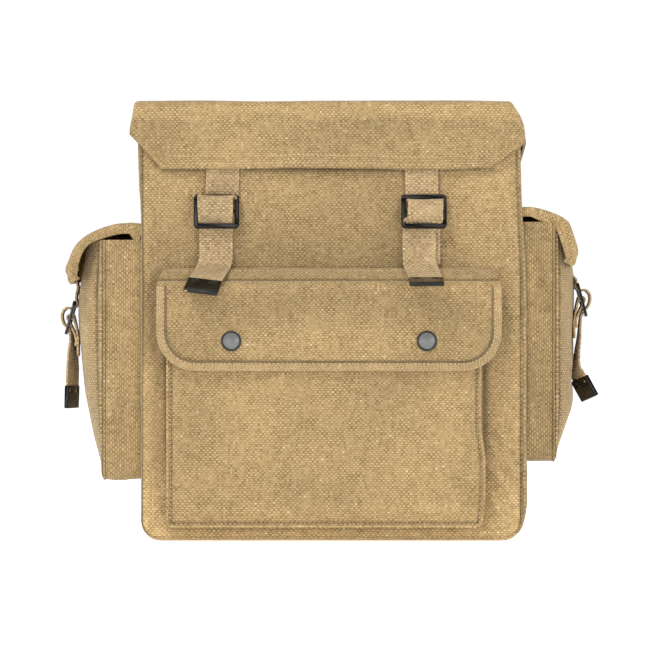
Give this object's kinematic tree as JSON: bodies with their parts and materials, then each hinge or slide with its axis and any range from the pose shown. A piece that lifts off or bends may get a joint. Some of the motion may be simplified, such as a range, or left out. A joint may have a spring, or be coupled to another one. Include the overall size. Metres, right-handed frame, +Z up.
{
  "type": "canvas saddle bag",
  "caption": "Boxed canvas saddle bag with a lid flap, a snapped front pocket, flapped side pockets and webbing straps through metal buckles.",
  "frame": {"origin": "centre of the base panel's underside", "axes": "+X to the viewer's right, front towards -Y, +Z up"},
  "size_m": [0.4155, 0.1865, 0.3388],
  "materials": {
    "sand_canvas": "coarse plain weave, dry and a little worn",
    "sand_binding": "narrow woven tape, stitched",
    "sand_webbing": "heavy one-inch webbing",
    "black_metal": "black, satin, rubbed at the edges",
    "gunmetal": "dark grey press studs with a dull face"
  },
  "bodies": {
    "bag": {"back_panel": "sand_canvas", "base_panel": "sand_canvas", "front_left_chape": "sand_webbing", "front_panel": "sand_canvas", "front_pocket_flap_band": "sand_canvas", "front_pocket_gusset": "sand_canvas", "front_pocket_panel": "sand_canvas", "front_right_chape": "sand_webbing", "saddle_left_chape": "sand_webbing", "saddle_left_keeper": "sand_webbing", "saddle_left_strap": "sand_webbing", "saddle_left_strap_tip": "black_metal", "saddle_right_chape": "sand_webbing", "saddle_right_keeper": "sand_webbing", "saddle_right_strap": "sand_webbing", "saddle_right_strap_tip": "black_metal", "saddle_strap_patch": "sand_canvas", "seat_post_loop": "sand_webbing", "side_left_chape": "sand_webbing", "side_panel_left": "sand_canvas", "side_panel_right": "sand_canvas", "side_pocket_left_gusset": "sand_canvas", "side_pocket_left_panel": "sand_canvas", "side_pocket_right_gusset": "sand_canvas", "side_pocket_right_panel": "sand_canvas", "side_right_chape": "sand_webbing", "snap_left_post": "gunmetal", "snap_left_stud": "gunmetal", "snap_right_post": "gunmetal", "snap_right_stud": "gunmetal"},
    "main_flap": {"front_left_strap": "sand_webbing", "front_right_strap": "sand_webbing", "main_flap": "sand_canvas"},
    "front_left_strap_end": {"front_left_strap_tip": "black_metal"},
    "front_right_strap_end": {"front_right_strap_tip": "black_metal"},
    "pocket_flap": {"front_pocket_flap": "sand_canvas", "front_pocket_flap_binding": "sand_binding", "snap_left_cap": "gunmetal", "snap_left_socket": "gunmetal", "snap_right_cap": "gunmetal", "snap_right_socket": "gunmetal"},
    "side_flap_left": {"side_flap_left": "sand_canvas", "side_left_strap": "sand_webbing"},
    "side_flap_right": {"side_flap_right": "sand_canvas", "side_right_strap": "sand_webbing"},
    "side_left_strap_end": {"side_left_strap_tip": "black_metal"},
    "side_right_strap_end": {"side_right_strap_tip": "black_metal"},
    "front_left_buckle": {"front_left_buckle": "black_metal"},
    "front_right_buckle": {"front_right_buckle": "black_metal"},
    "side_left_buckle": {"side_left_buckle": "black_metal"},
    "side_right_buckle": {"side_right_buckle": "black_metal"},
    "saddle_left_buckle": {"saddle_left_buckle": "black_metal"},
    "saddle_right_buckle": {"saddle_right_buckle": "black_metal"}
  },
  "joints": [
    {"name": "main_flap_lift", "type": "hinge", "parent": "bag", "child": "main_flap", "pos_m": [0, 0.0625, 0.3363], "axis": [-1, 0, 0], "range_deg": [0, 115], "deforming": ["front_left_strap", "front_right_strap"]},
    {"name": "pocket_flap_lift", "type": "hinge", "parent": "bag", "child": "pocket_flap", "pos_m": [0, -0.084, 0.1996], "axis": [-1, 0, 0], "range_deg": [0, 100]},
    {"name": "front_left_strap_end_swing", "type": "hinge", "parent": "main_flap", "child": "front_left_strap_end", "pos_m": [-0.0866, -0.06846, 0.24394], "axis": [-1, 0, 0], "range_deg": [0, 40]},
    {"name": "front_right_strap_end_swing", "type": "hinge", "parent": "main_flap", "child": "front_right_strap_end", "pos_m": [0.073, -0.06846, 0.24394], "axis": [-1, 0, 0], "range_deg": [0, 40]},
    {"name": "side_flap_left_lift", "type": "hinge", "parent": "bag", "child": "side_flap_left", "pos_m": [-0.148, 0, 0.2454], "axis": [0, 1, 0], "range_deg": [0, 80], "deforming": ["side_left_strap"]},
    {"name": "side_left_strap_end_swing", "type": "hinge", "parent": "side_flap_left", "child": "side_left_strap_end", "pos_m": [-0.20096, 0, 0.16244], "axis": [0, 1, 0], "range_deg": [0, 60]},
    {"name": "side_flap_right_lift", "type": "hinge", "parent": "bag", "child": "side_flap_right", "pos_m": [0.148, 0, 0.2594], "axis": [0, -1, 0], "range_deg": [0, 80], "deforming": ["side_right_strap"]},
    {"name": "side_right_strap_end_swing", "type": "hinge", "parent": "side_flap_right", "child": "side_right_strap_end", "pos_m": [0.19646, 0, 0.17644], "axis": [0, -1, 0], "range_deg": [0, 60]},
    {"name": "front_left_buckle_tilt", "type": "hinge", "parent": "bag", "child": "front_left_buckle", "pos_m": [-0.0866, -0.06916, 0.2535], "axis": [1, 0, 0], "range_deg": [0, 5]},
    {"name": "front_right_buckle_tilt", "type": "hinge", "parent": "bag", "child": "front_right_buckle", "pos_m": [0.073, -0.06916, 0.2535], "axis": [1, 0, 0], "range_deg": [0, 5]},
    {"name": "side_left_buckle_tilt", "type": "hinge", "parent": "bag", "child": "side_left_buckle", "pos_m": [-0.20166, 0, 0.172], "axis": [0, -1, 0], "range_deg": [0, 5]},
    {"name": "side_right_buckle_tilt", "type": "hinge", "parent": "bag", "child": "side_right_buckle", "pos_m": [0.19716, 0, 0.186], "axis": [0, 1, 0], "range_deg": [0, 5]},
    {"name": "saddle_left_buckle_tilt", "type": "hinge", "parent": "bag", "child": "saddle_left_buckle", "pos_m": [-0.075, 0.06916, 0.232], "axis": [-1, 0, 0], "range_deg": [0, 5]},
    {"name": "saddle_right_buckle_tilt", "type": "hinge", "parent": "bag", "child": "saddle_right_buckle", "pos_m": [0.075, 0.06916, 0.232], "axis": [-1, 0, 0], "range_deg": [0, 5]}
  ],
  "couplings": [
    {"joint": "front_left_strap_end_swing", "follows": "pocket_flap_lift", "ratio": 0.4},
    {"joint": "front_right_strap_end_swing", "follows": "pocket_flap_lift", "ratio": 0.4}
  ]
}
